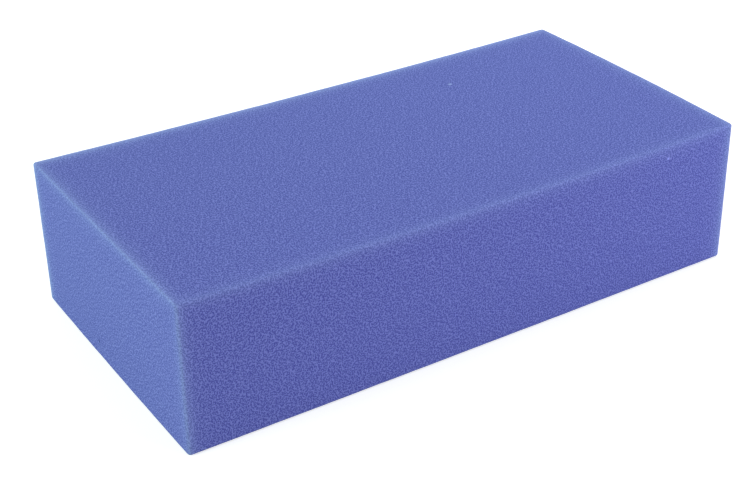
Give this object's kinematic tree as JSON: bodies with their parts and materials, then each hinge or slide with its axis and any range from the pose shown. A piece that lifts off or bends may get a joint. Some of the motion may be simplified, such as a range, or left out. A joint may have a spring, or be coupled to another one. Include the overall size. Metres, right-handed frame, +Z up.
{
  "type": "grooming sponge",
  "caption": "Rectangular block of open-cell foam with softened edges, a slightly dipped top and bowed ends, held in the hand to wash and wipe down an animal's coat.",
  "frame": {"origin": "in the resting face, under the middle of the block", "axes": "+X along the block's length, +Y across its width, +Z up from the resting face to the top"},
  "size_m": [0.2, 0.0998, 0.0491],
  "materials": {
    "foam": "open-cell polyurethane foam, dyed blue through its whole depth, sawn and left raw: matte, finely pitted, a little paler and softer along its edges"
  },
  "bodies": {
    "root": {"foam_block": "foam"}
  },
  "joints": []
}
